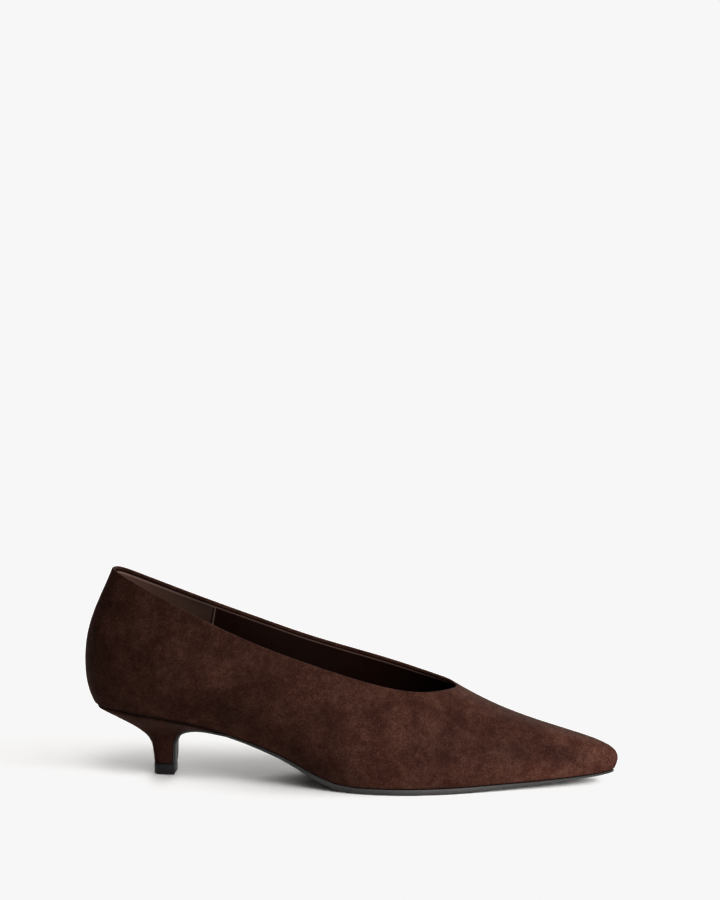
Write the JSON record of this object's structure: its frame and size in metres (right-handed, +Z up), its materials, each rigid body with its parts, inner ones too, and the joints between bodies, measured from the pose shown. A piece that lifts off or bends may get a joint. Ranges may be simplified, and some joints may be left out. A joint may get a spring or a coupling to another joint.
{
  "type": "pump shoe",
  "caption": "Right pump with a pointed toe, low-cut suede upper, slim sole with a breast flap and a low kitten heel on a rubber lift.",
  "frame": {"origin": "on the floor, under the middle of the shoe's box", "axes": "+X along the foot towards the toe, +Y to the wearer's left (the inner side of this right shoe), +Z up"},
  "size_m": [0.26, 0.0782, 0.1023],
  "materials": {
    "suede": "dark brown suede with a short mottled nap",
    "heel_cover": "dark brown suede pulled over the heel block",
    "sock": "smooth dark brown lining leather",
    "sole": "satin charcoal sole",
    "lift": "matt black rubber"
  },
  "bodies": {
    "root": {"upper": "suede", "insole": "sock", "outsole": "sole", "heel": "heel_cover", "top_lift": "lift"}
  },
  "joints": []
}
